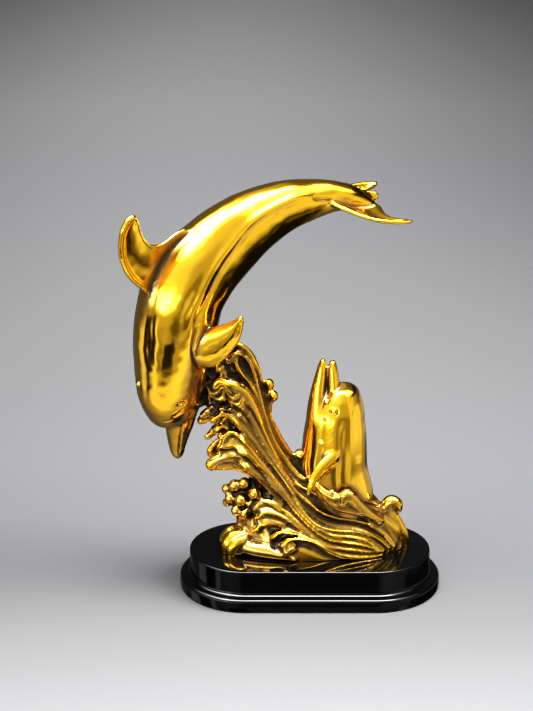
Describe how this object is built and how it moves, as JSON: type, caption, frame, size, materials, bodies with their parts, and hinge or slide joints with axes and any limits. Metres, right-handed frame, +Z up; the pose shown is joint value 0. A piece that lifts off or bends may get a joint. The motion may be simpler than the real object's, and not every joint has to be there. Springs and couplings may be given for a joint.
{
  "type": "dolphin sculpture",
  "caption": "Ornamental casting of a dolphin diving over a curling wave while its mate rises beside it, gold plated, on a stepped black lacquered plinth.",
  "frame": {"origin": "middle of the plinth's underside", "axes": "+Z up, +X along the plinth to the viewer's right, front at -Y"},
  "size_m": [0.2602, 0.1444, 0.3444],
  "materials": {
    "gold_plated_resin": "polished gold plating, darkened in the hollows of the wave",
    "black_lacquer": "gloss black lacquer"
  },
  "bodies": {
    "root": {"dolphins_and_wave": "gold_plated_resin", "plinth": "black_lacquer"}
  },
  "joints": []
}
